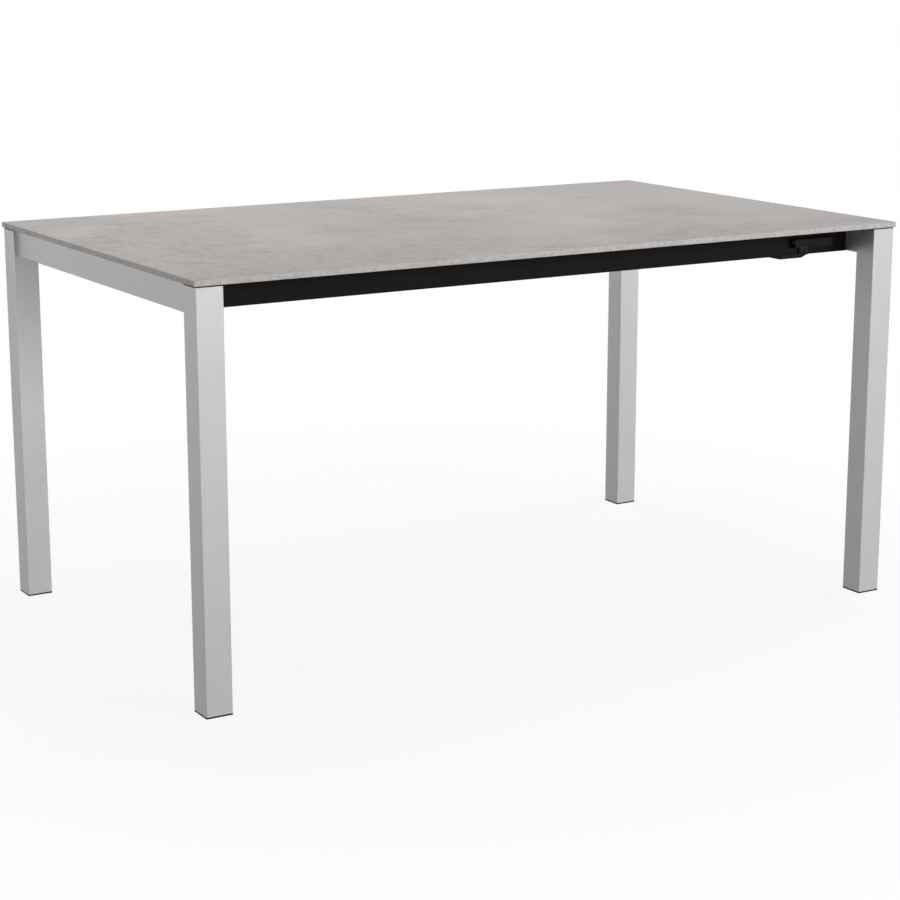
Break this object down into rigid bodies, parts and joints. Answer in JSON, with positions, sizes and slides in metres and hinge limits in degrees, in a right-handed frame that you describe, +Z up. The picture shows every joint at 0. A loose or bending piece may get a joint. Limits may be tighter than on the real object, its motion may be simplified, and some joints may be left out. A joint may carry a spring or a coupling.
{
  "type": "extendable dining table",
  "caption": "Rectangular dining table with a thin stone-look top on square metal legs; one end pulls out on slide rails and carries a stored spare leaf.",
  "frame": {"origin": "on the floor, under the middle of the closed table", "axes": "+X along the table towards the end that pulls out, +Y from the lock side to the back, +Z up"},
  "size_m": [1.5, 0.9, 0.75],
  "materials": {
    "stone_top": "matt concrete-look stoneware",
    "silver_frame": "satin silver paint",
    "black_rail": "satin black",
    "bare_aluminium": "mill",
    "black_plastic": "fine grain",
    "nylon": "smooth",
    "rubber_pad": "matt",
    "felt": "felt",
    "zinc_steel": "zinc plated",
    "black_steel": "black oxide"
  },
  "bodies": {
    "fixed_frame": {"table_top": "stone_top", "top_straps": "black_rail", "strap_screws": "zinc_steel", "top_pads": "rubber_pad", "leg_front_left": "silver_frame", "leg_back_left": "silver_frame", "end_rail_left": "silver_frame", "corner_castings_left": "bare_aluminium", "corner_screws_left": "zinc_steel", "feet_left": "black_plastic", "side_rail_front": "black_rail", "side_rail_back": "black_rail", "side_rail_brackets": "zinc_steel", "side_rail_bracket_screws": "zinc_steel", "cross_beam": "black_rail", "beam_screws": "zinc_steel", "guides": "nylon", "stop_rivets": "zinc_steel", "lock_housing": "black_plastic", "lock_cap": "black_plastic", "lock_screws": "zinc_steel", "return_spring": "zinc_steel"},
    "end_frame": {"leg_front_right": "silver_frame", "leg_back_right": "silver_frame", "end_rail_right": "silver_frame", "corner_castings_right": "bare_aluminium", "corner_screws_right": "zinc_steel", "feet_right": "black_plastic", "end_pads": "rubber_pad", "slide_rail_front": "bare_aluminium", "slide_rail_back": "bare_aluminium", "slide_shoes": "nylon", "slide_rail_brackets": "zinc_steel", "slide_rail_bracket_screws": "zinc_steel", "leaf_bars": "black_rail", "leaf_felts": "felt", "leaf": "stone_top", "leaf_battens": "bare_aluminium", "batten_screws": "zinc_steel", "leaf_pins": "nylon"},
    "lever": {"release_lever": "black_plastic", "lever_arm": "black_steel", "paddle_screws": "black_steel", "lever_pin": "zinc_steel", "lock_shaft": "zinc_steel", "shaft_ring": "black_steel"},
    "brake": {"brake_shoe": "nylon"}
  },
  "joints": [
    {"name": "end_slide", "type": "slide", "parent": "fixed_frame", "child": "end_frame", "axis": [1, 0, 0], "range_m": [0, 0.6]},
    {"name": "lever_turn", "type": "hinge", "parent": "fixed_frame", "child": "lever", "pos_m": [0.587, -0.37375, 0.7135], "axis": [-1, 0, 0], "range_deg": [0, 20], "stiffness_Nm_per_rad": 0.5, "springref_deg": -20.05, "deforming": ["return_spring"]},
    {"name": "brake_slide", "type": "slide", "parent": "fixed_frame", "child": "brake", "axis": [0, -1, 0], "range_m": [0, 0.00187]}
  ],
  "couplings": [
    {"joint": "brake_slide", "follows": "lever_turn", "m_per_rad": 0.0052234}
  ]
}
